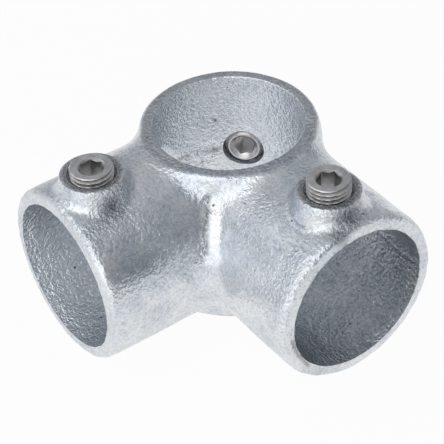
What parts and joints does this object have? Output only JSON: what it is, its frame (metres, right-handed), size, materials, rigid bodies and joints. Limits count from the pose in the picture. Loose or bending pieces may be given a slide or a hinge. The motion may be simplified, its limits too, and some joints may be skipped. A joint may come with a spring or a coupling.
{
  "type": "tube clamp fitting",
  "caption": "Galvanised iron corner clamp fitting for round tube: an upright tube passes through its ring and level tubes end in the sockets at right angles, each held by a set screw.",
  "frame": {"origin": "where the axes of the upright tube and of the two level tubes cross", "axes": "+Z along the upright tube's axis, towards the side of the set screws of the sockets; +X out of one socket, -Y out of the other"},
  "size_m": [0.0976, 0.0976, 0.0686],
  "materials": {
    "galvanised_iron": "hot-dip galvanised, pebbled as cast",
    "screw_steel": "turned, plain, slightly dull"
  },
  "bodies": {
    "casting": {"fitting_body": "galvanised_iron"},
    "screw_x": {"set_screw_x": "screw_steel"},
    "screw_y": {"set_screw_y": "screw_steel"},
    "screw_ring": {"set_screw_ring": "screw_steel"}
  },
  "joints": [
    {"name": "screw_x_travel", "type": "slide", "parent": "casting", "child": "screw_x", "axis": [0, 0, 1], "range_m": [-0.0037, 0.0009]},
    {"name": "screw_y_travel", "type": "slide", "parent": "casting", "child": "screw_y", "axis": [0, 0, 1], "range_m": [-0.002, 0.0026]},
    {"name": "screw_ring_travel", "type": "slide", "parent": "casting", "child": "screw_ring", "axis": [-0.7071, 0.7071, 0], "range_m": [-0.0018, 0.0028]}
  ]
}
